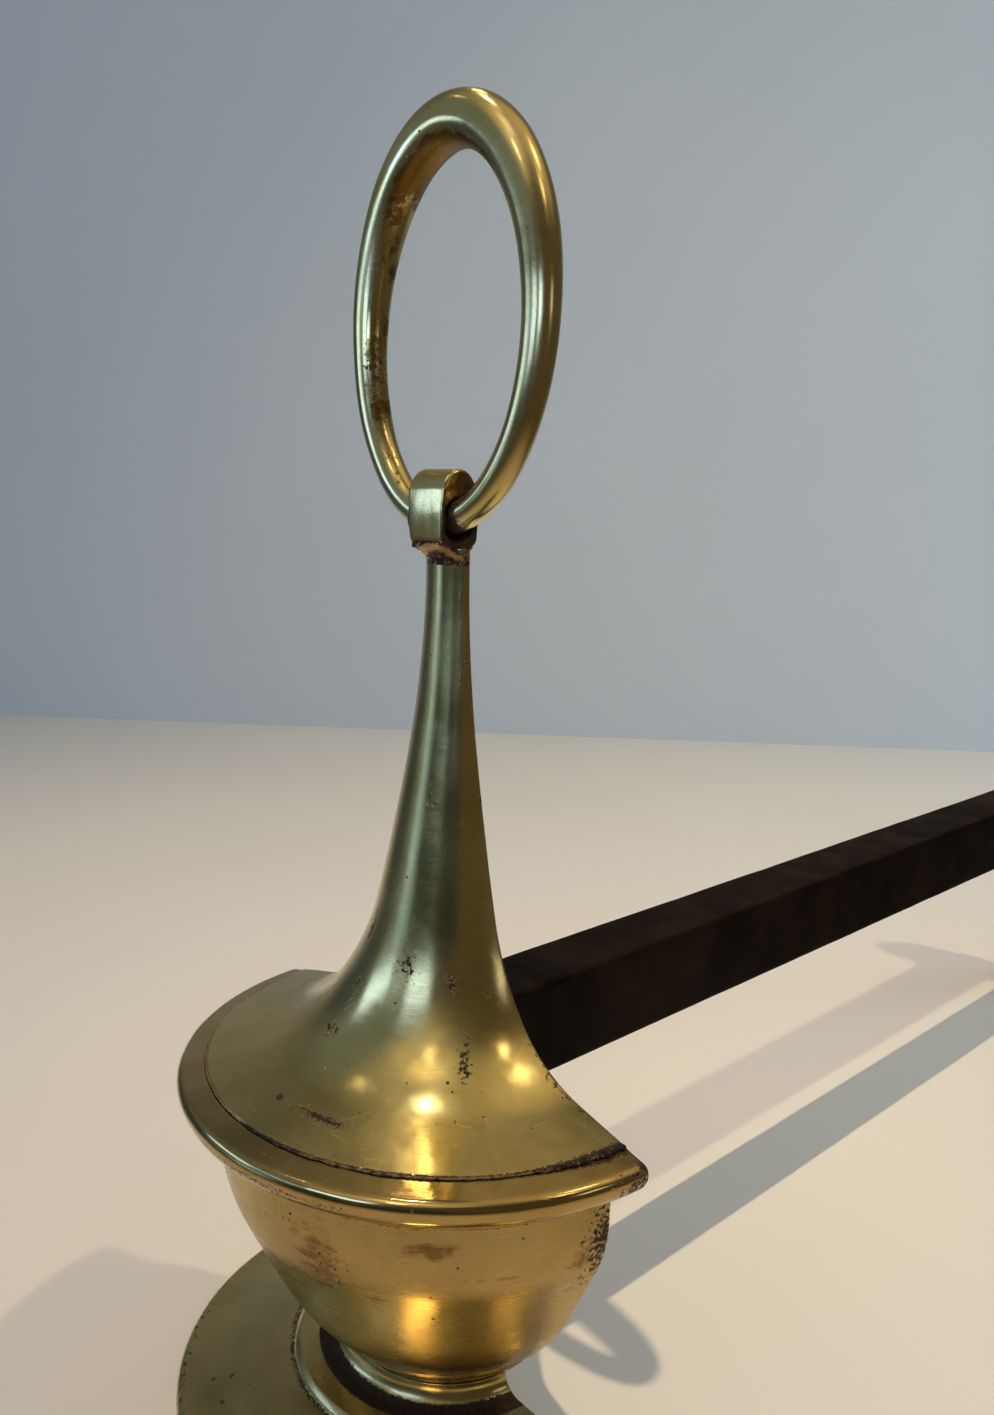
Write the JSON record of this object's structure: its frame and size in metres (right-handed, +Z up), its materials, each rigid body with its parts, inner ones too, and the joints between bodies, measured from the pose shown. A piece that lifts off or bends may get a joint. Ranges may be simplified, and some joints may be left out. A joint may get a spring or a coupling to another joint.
{
  "type": "andiron",
  "caption": "Half-round brass front with a bowl, a flared stem and an oval swinging ring, on an iron billet bar with an upright rear leg and log stop.",
  "frame": {"origin": "on the floor, under the middle of the object's length and width", "axes": "+Z up, -Y towards the brass front (the room), +Y along the billet bar into the fireplace, +X to the right as seen from the room"},
  "size_m": [0.1646, 0.558, 0.3718],
  "materials": {
    "brass": "aged cast brass, worn satin, dark patina in the recesses",
    "black_iron": "forged bar iron with blackened, slightly brown scale",
    "fastener_steel": "dull dark steel"
  },
  "bodies": {
    "stand": {"foot": "brass", "neck_collar": "brass", "bowl": "brass", "stem_bell": "brass", "ring_eye": "brass", "back_strap": "black_iron", "billet_bar": "black_iron", "rear_leg": "black_iron", "casting_studs": "fastener_steel", "stud_washers": "fastener_steel", "stud_nuts": "fastener_steel", "bar_washer": "fastener_steel", "bar_nut": "fastener_steel"},
    "ring": {"finial_ring": "brass"}
  },
  "joints": [
    {"name": "ring_swing", "type": "hinge", "parent": "stand", "child": "ring", "pos_m": [0, -0.20405, 0.26311], "axis": [1, 0, 0], "range_deg": [-173, 169]}
  ]
}
